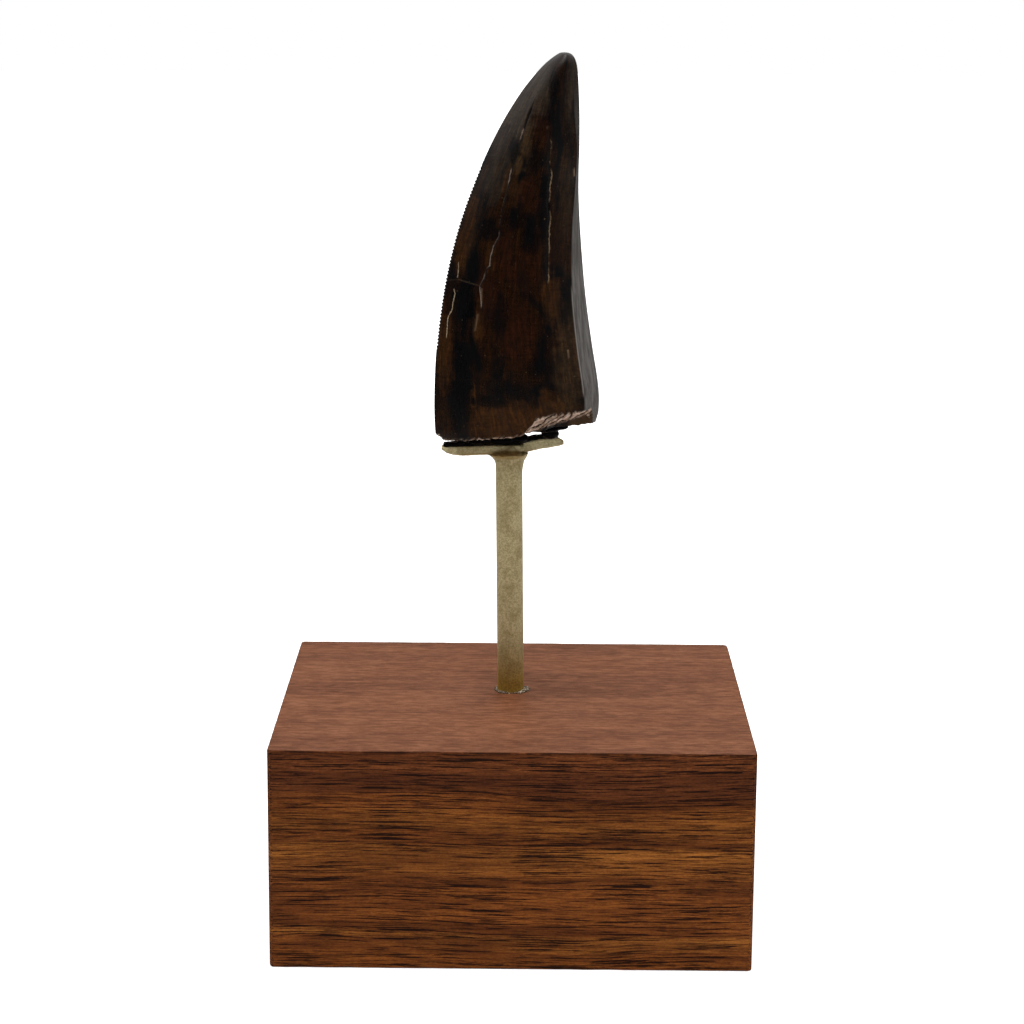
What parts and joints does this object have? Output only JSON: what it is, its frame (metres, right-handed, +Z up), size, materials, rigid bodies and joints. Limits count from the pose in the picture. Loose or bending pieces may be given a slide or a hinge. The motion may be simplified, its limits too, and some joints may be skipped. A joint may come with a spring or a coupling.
{
  "type": "fossil tyrannosaur tooth",
  "caption": "Large serrated fossil tooth crown held upright on a round brass post over a plain wooden block.",
  "frame": {"origin": "centre of the wooden block's underside", "axes": "+X to the viewer's right along the block's long side, +Y away from the viewer, +Z up along the post to the tooth's tip"},
  "size_m": [0.0826, 0.07, 0.1529],
  "materials": {
    "wood": "bare reddish-brown open-pored hardwood, sanded, grain along the long side",
    "brass": "dull, filed and brazed brass with a light tarnish",
    "glue": "clear set glue with small bubbles",
    "bedding": "black setting compound, semi-matt",
    "fossil": "polished dark brown fossil enamel with lengthwise cracks, pinkish broken dentine at the base"
  },
  "bodies": {
    "root": {"base_block": "wood", "socket_glue": "glue", "brass_post": "brass", "cradle_arm_left": "brass", "cradle_arm_right": "brass", "black_bedding": "bedding", "tooth": "fossil"}
  },
  "joints": []
}
